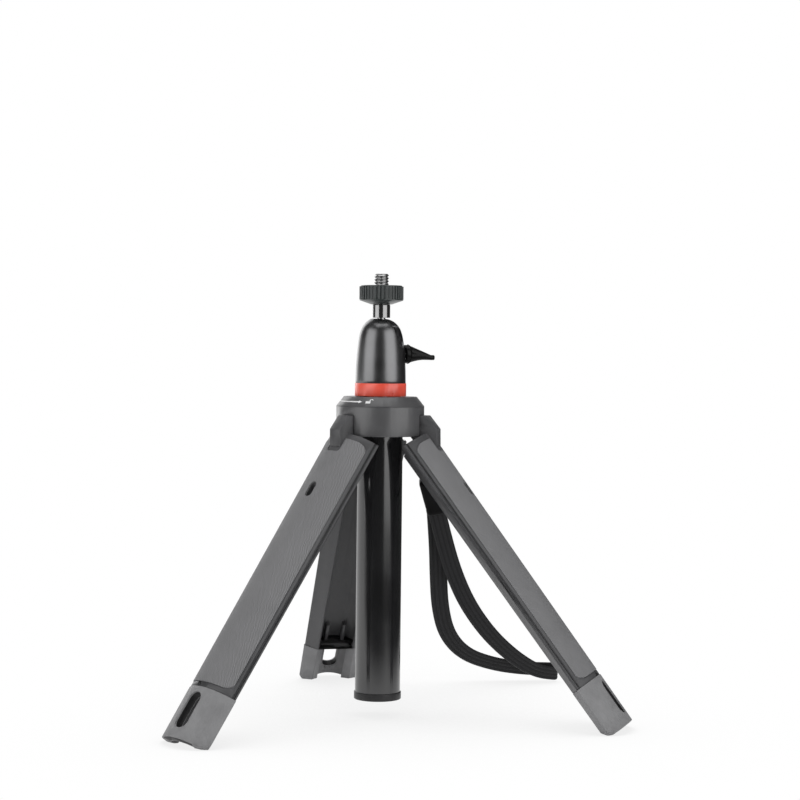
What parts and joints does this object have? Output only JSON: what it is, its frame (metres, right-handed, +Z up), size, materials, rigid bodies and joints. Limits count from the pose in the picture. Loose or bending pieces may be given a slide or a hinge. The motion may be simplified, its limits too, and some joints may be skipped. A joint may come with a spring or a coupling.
{
  "type": "selfie stick tripod",
  "caption": "Pocket tripod with a ball head and a telescopic column in a hub of folding trough-shaped legs, which close round the column as a selfie stick's handle, with a wrist strap.",
  "frame": {"origin": "centre of the camera platform, the thumb wheel's top face, on the column's axis", "axes": "+Z up along the camera stud and the column, +Y towards the rear leg"},
  "size_m": [0.2056, 0.1757, 0.1914],
  "materials": {
    "hub_plastic": "satin dark grey",
    "leg_plastic": "satin dark grey",
    "grip_rubber": "fine wavy grain",
    "foot_rubber": "smooth mid grey",
    "gloss_tube": "gloss black",
    "black_plastic": "satin black",
    "head_plastic": "satin black",
    "bearing_plastic": "natural acetal",
    "red_ring": "satin red",
    "section_metal": "satin",
    "black_metal": "gloss black",
    "ball_metal": "turned",
    "steel": "machined",
    "wheel_pad_rubber": "matt",
    "strap_cord": "braided",
    "strap_sleeve": "soft gloss",
    "strap_webbing": "ribbed webbing"
  },
  "bodies": {
    "hub": {"hub_body": "hub_plastic", "lock_collet": "bearing_plastic", "guide_bush": "bearing_plastic", "hub_plate": "hub_plastic", "hub_screws": "steel", "leg_pins": "steel"},
    "lock_ring": {"lock_ring": "hub_plastic"},
    "right_leg": {"right_leg_shell": "leg_plastic", "right_leg_pad": "grip_rubber", "right_leg_foot": "foot_rubber", "strap_knot": "strap_cord", "strap_cord": "strap_cord", "strap_sleeve": "strap_sleeve", "strap_webbing": "strap_webbing"},
    "left_leg": {"left_leg_shell": "leg_plastic", "left_leg_pad": "grip_rubber", "left_leg_foot": "foot_rubber"},
    "rear_leg": {"rear_leg_shell": "leg_plastic", "rear_leg_pad": "grip_rubber", "rear_leg_foot": "foot_rubber"},
    "outer_tube": {"outer_tube": "gloss_tube", "tube_end_cap": "black_plastic"},
    "section_1": {"column_section_1": "section_metal", "friction_bush_1": "bearing_plastic"},
    "section_2": {"column_section_2": "section_metal", "friction_bush_2": "bearing_plastic"},
    "section_3": {"column_section_3": "section_metal", "friction_bush_3": "bearing_plastic"},
    "head": {"column_section_4": "section_metal", "friction_bush_4": "bearing_plastic", "colour_ring": "red_ring", "head_plug": "section_metal", "head_pin": "steel", "ball_housing": "head_plastic"},
    "clamp_lever": {"clamp_lever": "head_plastic", "clamp_screw": "steel"},
    "ball_seat": {"ball_seat": "bearing_plastic"},
    "swivel_ball": {"swivel_ball": "ball_metal"},
    "neck": {"neck": "black_metal"},
    "camera_stud": {"camera_stud": "steel"},
    "thumb_wheel": {"thumb_wheel": "head_plastic", "wheel_pad": "wheel_pad_rubber"}
  },
  "joints": [
    {"name": "right_leg_fold", "type": "hinge", "parent": "hub", "child": "right_leg", "pos_m": [0.01403, -0.0081, -0.06], "axis": [-0.5, -0.866, 0], "range_deg": [-37.5, 0], "deforming": ["strap_cord"]},
    {"name": "rear_leg_fold", "type": "hinge", "parent": "hub", "child": "rear_leg", "pos_m": [0, 0.0162, -0.06], "axis": [1, 0, 0], "range_deg": [-37.5, 0]},
    {"name": "left_leg_fold", "type": "hinge", "parent": "hub", "child": "left_leg", "pos_m": [-0.01403, -0.0081, -0.06], "axis": [-0.5, 0.866, 0], "range_deg": [-37.5, 0]},
    {"name": "lock_turn", "type": "hinge", "parent": "hub", "child": "lock_ring", "pos_m": [0, 0, -0.052], "axis": [0, 0, 1], "range_deg": [0, 45]},
    {"name": "tube_slide", "type": "slide", "parent": "hub", "child": "outer_tube", "axis": [0, 0, 1], "range_m": [0, 0.108]},
    {"name": "section_1_slide", "type": "slide", "parent": "outer_tube", "child": "section_1", "axis": [0, 0, 1], "range_m": [0, 0.095]},
    {"name": "section_2_slide", "type": "slide", "parent": "section_1", "child": "section_2", "axis": [0, 0, 1], "range_m": [0, 0.093]},
    {"name": "section_3_slide", "type": "slide", "parent": "section_2", "child": "section_3", "axis": [0, 0, 1], "range_m": [0, 0.09]},
    {"name": "section_4_slide", "type": "slide", "parent": "section_3", "child": "head", "axis": [0, 0, 1], "range_m": [0, 0.087]},
    {"name": "clamp_turn", "type": "hinge", "parent": "head", "child": "clamp_lever", "pos_m": [0.00974, 0.00225, -0.0295], "axis": [0.9744, 0.225, 0], "range_deg": [0, 120]},
    {"name": "seat_lift", "type": "slide", "parent": "head", "child": "ball_seat", "axis": [0, 0, 1], "range_m": [-0.0002, 0]},
    {"name": "head_roll", "type": "hinge", "parent": "head", "child": "swivel_ball", "pos_m": [0, 0, -0.0225], "axis": [0.8572, -0.515, 0], "range_deg": [-11, 11]},
    {"name": "head_tilt", "type": "hinge", "parent": "swivel_ball", "child": "neck", "pos_m": [0, 0, -0.0225], "axis": [0.515, 0.8572, 0], "range_deg": [-11, 90]},
    {"name": "head_spin", "type": "hinge", "parent": "neck", "child": "camera_stud", "pos_m": [0, 0, -0.0225], "axis": [0, 0, 1], "continuous": true},
    {"name": "wheel_turn", "type": "hinge", "parent": "camera_stud", "child": "thumb_wheel", "pos_m": [0, 0, 0], "axis": [0, 0, 1], "continuous": true}
  ],
  "couplings": [
    {"joint": "clamp_turn", "follows": "seat_lift", "rad_per_m": -10472}
  ]
}
